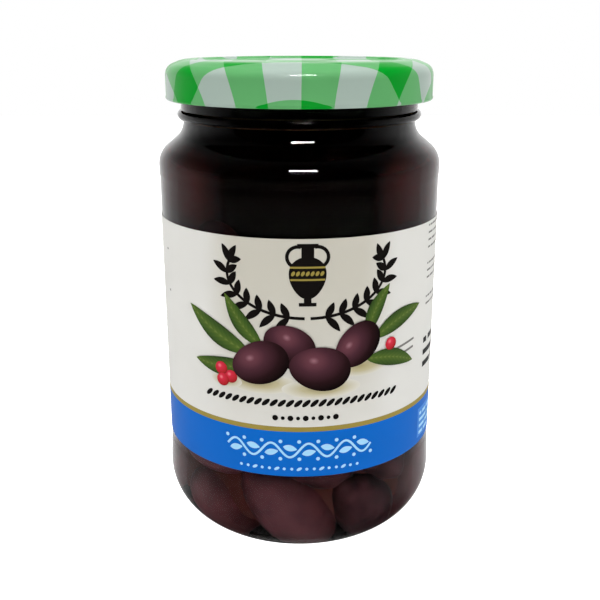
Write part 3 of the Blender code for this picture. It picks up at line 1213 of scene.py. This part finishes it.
    def build(self) -> None:
        """Print the label, from the lowest ink to the highest."""
        shadow = InkLayer("print_shadow", ShadedInk("ochre halftone", Shading.FADE, (
            (0.0, "aea277"), (0.5, "c2b995"), (1.0, "dcd9ce"))).make(), 0.012, 0.010)
        for oval in self.shadows:
            shadow.oval(*oval)
        leafy = InkLayer("print_leaves", ShadedInk("leaf green halftone", Shading.LEAF, (
            (0.0, "6c7e3a"), (0.15, "506827"), (0.5, "3f5a23"), (1.0, "29391b"))).make(), 0.060, 0.010)
        for leaf in self.leaves:
            leafy.leaf(*leaf, 0.9)
        fruit = InkLayer("print_olives", ShadedInk("olive halftone", Shading.ROUND, (
            (0.0, "9a6a74"), (0.12, "6a3c46"), (0.4, "4c2832"), (0.75, "2a1216"), (1.0, "140808"))).make(),
            0.130, 0.010)
        for oval in self.fruits:
            fruit.oval(*oval, egg=0.08, corners=48)
        red = InkLayer("print_berries", ShadedInk("red halftone", Shading.ROUND, (
            (0.0, "e8808c"), (0.25, "d52d44"), (0.8, "b52329"), (1.0, "8a1a20"))).make(), 0.130, 0.010)
        for across, up in self.berries:
            red.oval(across, up, 3.6, 3.4)
        black = InkLayer("print_black", FlatInk("black ink", "15110f").make())
        gold = InkLayer("print_gold", FlatInk("gold ink", "a08f45").make(), 0.040)
        self.draw_wreath(black)
        self.draw_amphora(black, gold)
        self.draw_rope(black)
        self.draw_small_rows(black, 40.0, 55.0, 3, 18.0, 1.5, 3.4)
        self.draw_table(black)
        grey = InkLayer("print_grey", FlatInk("grey ink", "7d7b77").make())
        for block in self.small_rows:
            self.draw_small_rows(grey, *block, 0.5)
        for row in range(2):
            grey.bar(29.5 + 0.3 * row, 57.0 - 2.1 * row, 9.0 - row, 0.6, 8.0)
        pale = InkLayer("print_pale_box", FlatInk("mid blue ink", "3f8ade").make())
        pale.bar(45.0, 31.4, 13.0, 8.6)
        vine = InkLayer("print_vine", FlatInk("light blue ink", "a6dafa").make(), 0.040)
        self.draw_vine(vine)
        self.draw_small_rows(vine, 39.6, 34.0, 4, 11.0, 0.9)
        for layer in (shadow, leafy, fruit, red, black, gold, grey, pale, vine):
            layer.wrap(self.radius, self.column)


@dataclass
class WrapLabel:
    """The paper label with its cream field, gold line and blue band."""

    bottom: float
    top: float
    radius: float = 37.12
    paper: float = 0.1
    length: float = 219.0
    column: float = 1.5
    band_top: float = 37.9
    line_top: float = 39.2

    @property
    def face_radius(self) -> float:
        """Radius of the paper's printed face."""
        return self.radius + self.paper

    def build(self) -> None:
        """Make the paper, its fields divided at their own edges, and print it."""
        form = bmesh.new()
        bmesh.ops.create_grid(form, x_segments=1, y_segments=1, size=0.5)
        bmesh.ops.scale(form, vec=(self.length, self.top - self.bottom, 1.0), verts=form.verts)
        bmesh.ops.translate(form, vec=(0.0, (self.top + self.bottom) / 2.0, 0.0), verts=form.verts)
        for height in (self.band_top, self.line_top):
            cut(form, Vector((0.0, 1.0, 0.0)), height)
        slice_columns(form, self.column)
        for face in form.faces:
            height = face.calc_center_median().y
            face.material_index = 0 if height > self.line_top else 1 if height > self.band_top else 2
        wrap_round(form, self.paper, self.radius)
        fields = [VarnishedPaper("cream label paper", "e2e1dc", "d4d2cb", "ccc8bb"),
                  VarnishedPaper("gold printed line", "a08f45", "8c7a36"),
                  VarnishedPaper("blue printed band", "046acd", "045db3")]
        materials = [finish.make() for finish in fields]
        keep(make_piece(form, "label_wrap", materials), "label_paper", "label")
        LabelPrint(self.face_radius, self.column).build()


@dataclass(frozen=True)
class Panel:
    """A flat soft light, placed by where the jar sees it."""

    name: str
    place: tuple[float, float, float]
    aim: tuple[float, float, float]
    size: tuple[float, float]
    radiance: float
    mirrored: bool

    def light(self) -> None:
        """Make the light: a highlight in gloss and glass, or a fill that only matt surfaces get."""
        data = bpy.data.lights.new(self.name, "AREA")
        data.shape = "RECTANGLE"
        data.size, data.size_y = self.size
        data.energy = self.radiance * math.pi * self.size[0] * self.size[1]
        lamp = bpy.data.objects.new(self.name, data)
        lamp.location = self.place
        lamp.rotation_euler = (Vector(self.aim) - Vector(self.place)).to_track_quat("-Z", "Y").to_euler()
        lamp.visible_camera = False
        lamp.visible_diffuse = not self.mirrored
        lamp.visible_glossy = self.mirrored
        lamp.visible_transmission = self.mirrored
        bpy.context.scene.collection.objects.link(lamp)


@dataclass
class Studio:
    """Camera, pale floor, white surroundings at the sides and behind, dark in front."""

    distance: float = 0.2296
    height: float = 0.1327
    pitch: float = 17.43
    lens: float = 51.17
    side_shift: float = 0.00018
    floor_glow: tuple[float, float] = (0.5, 0.8)
    light_away: float = 0.9
    bar_side: float = 0.04
    bar_up: float = 45.0
    bar_size: tuple[float, float] = (0.29, 0.08)
    bar_radiance: float = 85.0
    bar_aim: float = 0.11
    fill_aim: float = 0.06
    fill_size: tuple[float, float] = (0.4, 0.4)
    fill_side: float = 65.0
    fill_up: float = 72.0
    fill_radiance: float = 11.8
    floor_lift: float = 1.0
    glow_reaches: tuple[tuple[float, float], ...] = ((0.012, 0.03), (0.05, 0.35))
    lift_reach: tuple[float, float] = (0.019, 0.0265)
    ring_width: float = 3.0
    ring_gap: float = 0.2
    ring_drop: float = 0.1
    ceiling_slope: float = 0.2
    ceiling: tuple[float, float, float, float] = (0.15, 0.75, 1.0, 0.12)
    cellar: tuple[float, float, float, float] = (-0.75, -0.4, 0.05, 1.0)
    sweep: tuple[tuple[float, str], ...] = (
        (0.285, "000000"), (0.29, "383838"), (0.38, "595959"), (0.5, "7c7c7c"), (0.61, "9e9e9e"),
        (0.70, "a6a6a6"), (0.705, "bcbcbc"), (0.78, "c6c6c6"), (0.88, "e7e7e7"), (0.95, "ffffff"))

    def panels(self) -> list[Panel]:
        """List the lights."""
        away, up = self.light_away, math.radians(self.bar_up)
        bar = (self.bar_side, -away * math.cos(up), self.bar_aim + away * math.sin(up))
        middle = (0.0, 0.0, self.fill_aim)
        panels = [Panel("front_bar", bar, middle, self.bar_size, self.bar_radiance, True)]
        turned, raised = math.radians(self.fill_side), math.radians(self.fill_up)
        level = away * math.cos(raised)
        for side, name in ((-1.0, "left_fill"), (1.0, "right_fill")):
            place = (side * level * math.sin(turned), -level * math.cos(turned),
                     self.fill_aim + away * math.sin(raised))
            panels.append(Panel(name, place, middle, self.fill_size, self.fill_radiance, False))
        return panels

    def set_world(self) -> None:
        """Surround the jar with a white sweep that is bright behind, grey beside and dark in front.

        The dark ceiling comes down lower on the left. The camera itself sees plain white.
        """
        world = bpy.data.worlds.new("studio")
        world.use_nodes = True
        bpy.context.scene.world = world
        tree = world.node_tree
        tree.nodes.clear()
        way = add_node(tree, "ShaderNodeTexCoord").outputs["Generated"]
        across, back, up = axes(tree, way)
        leftwards = maths(tree, "MAXIMUM", maths(tree, "MULTIPLY", across, -1.0), 0.0)
        slope = maths(tree, "MULTIPLY_ADD", leftwards, self.ceiling_slope, up)
        sweep = ramp(tree, maths(tree, "MULTIPLY_ADD", back, 0.5, 0.5), self.sweep)
        rays = add_node(tree, "ShaderNodeLightPath")
        strength = maths(tree, "MULTIPLY", fade(tree, slope, *self.ceiling), fade(tree, up, *self.cellar))
        around = add_node(tree, "ShaderNodeBackground", inputs={"Color": sweep, "Strength": strength})
        white = add_node(tree, "ShaderNodeBackground", inputs={"Color": linear("ffffff"), "Strength": 1.0})
        mixed = add_node(tree, "ShaderNodeMixShader", inputs={
            0: rays.outputs["Is Camera Ray"], 1: around.outputs[0], 2: white.outputs[0]})
        add_node(tree, "ShaderNodeOutputWorld", inputs={"Surface": mixed.outputs[0]})

    def lay_floor(self) -> None:
        """Lay a sheet of white card, which the gloss of the jar doesn't mirror.

        It glows, and round the jar's foot it glows more for the camera, so that no shadow greys it.
        """
        form = bmesh.new()
        bmesh.ops.create_grid(form, x_segments=4, y_segments=4, size=1.2)
        material, tree, shader = new_finish("white card", {
            "Roughness": 0.9, "Specular IOR Level": 0.0, "Emission Color": linear("ffffff")})
        colour = blend(tree, noise(tree, 30.0), linear("f6f6f6"), linear("f2f2f2"))
        tree.links.new(colour, shader.inputs["Base Color"])
        length = add_node(tree, "ShaderNodeVectorMath", {"operation": "LENGTH"}, {0: object_place(tree)})
        away = length.outputs["Value"]
        near, far = self.floor_glow
        close, wide = self.glow_reaches
        glow = maths(tree, "ADD", fade(tree, away, *close, 0.0, near),
                     fade(tree, away, *wide, 0.0, far - near))
        rays = add_node(tree, "ShaderNodeLightPath")
        lift = fade(tree, away, *self.lift_reach, 0.0, self.floor_lift)
        strength = maths(tree, "ADD", glow, maths(tree, "MULTIPLY", lift, rays.outputs["Is Camera Ray"]))
        tree.links.new(strength, shader.inputs["Emission Strength"])
        floor = make_piece(form, "floor", [material])
        floor.visible_glossy = False

    def hang_black_ring(self) -> None:
        """Hang a black ring round the lid that only reflections see.

        It keeps the lid's bright skirt out of the shoulder, as a black card does
        in a studio, and lets through what comes from its inner side.
        """
        radius, low, high = reach("lid")
        form = bmesh.new()
        outer, foot = radius + self.ring_gap, low - self.ring_drop
        turn(form, [(radius - self.ring_width, foot), (outer, foot), (outer, high)], 96)
        wall = max(form.faces, key=lambda face: face.calc_center_median().z)
        if wall.normal.dot(wall.calc_center_median() * Vector((1.0, 1.0, 0.0))) < 0.0:
            bmesh.ops.reverse_faces(form, faces=form.faces)
        material, tree, shader = new_finish("black card", {
            "Base Color": linear("000000"), "Roughness": 1.0, "Specular IOR Level": 0.0})
        back = add_node(tree, "ShaderNodeNewGeometry").outputs["Backfacing"]
        clear = add_node(tree, "ShaderNodeBsdfTransparent")
        mixed = add_node(tree, "ShaderNodeMixShader", inputs={
            0: back, 1: shader.outputs[0], 2: clear.outputs[0]})
        tree.links.new(mixed.outputs[0], tree.nodes["Material Output"].inputs["Surface"])
        ring = make_piece(form, "black_ring", [material])
        ring.visible_camera = False
        ring.visible_diffuse = False
        ring.visible_transmission = False
        ring.visible_shadow = False

    def set_camera(self) -> None:
        """Stand the camera where the photograph was taken from."""
        data = bpy.data.cameras.new("camera")
        data.lens = self.lens
        data.sensor_width = 36.0
        camera = bpy.data.objects.new("camera", data)
        camera.location = (self.side_shift, -self.distance, self.height)
        camera.rotation_euler = (math.radians(90.0 - self.pitch), 0.0, 0.0)
        bpy.context.scene.collection.objects.link(camera)
        bpy.context.scene.camera = camera

    def build(self) -> None:
        """Set up the whole studio."""
        self.set_camera()
        self.set_world()
        self.lay_floor()
        self.hang_black_ring()
        for panel in self.panels():
            panel.light()
        bpy.context.scene.view_settings.view_transform = "Standard"


def main() -> None:
    """Build the studio, then the jar from the inside out."""
    logging.basicConfig(level=logging.INFO, format="%(message)s")
    Studio().build()
    jar_radius, _, rim_height = reach("jar")
    jar = GlassJar(heel_radius=jar_radius, rim_height=rim_height, fill_height=reach("contents")[2])
    jar.build()
    fill = OliveFill(jar, fill_height=jar.fill_height)
    fill.build_olives()
    fill.build_core()
    fill.build_brine()
    _, label_bottom, label_top = reach("label")
    WrapLabel(bottom=label_bottom, top=label_top).build()
    lid_radius, lid_bottom, lid_top = reach("lid")
    lid = DrawnLid(radius=lid_radius, bottom=lid_bottom, top=lid_top)
    lid.build()
    lid.build_seal(rim_height)


if __name__ == "__main__":
    main()
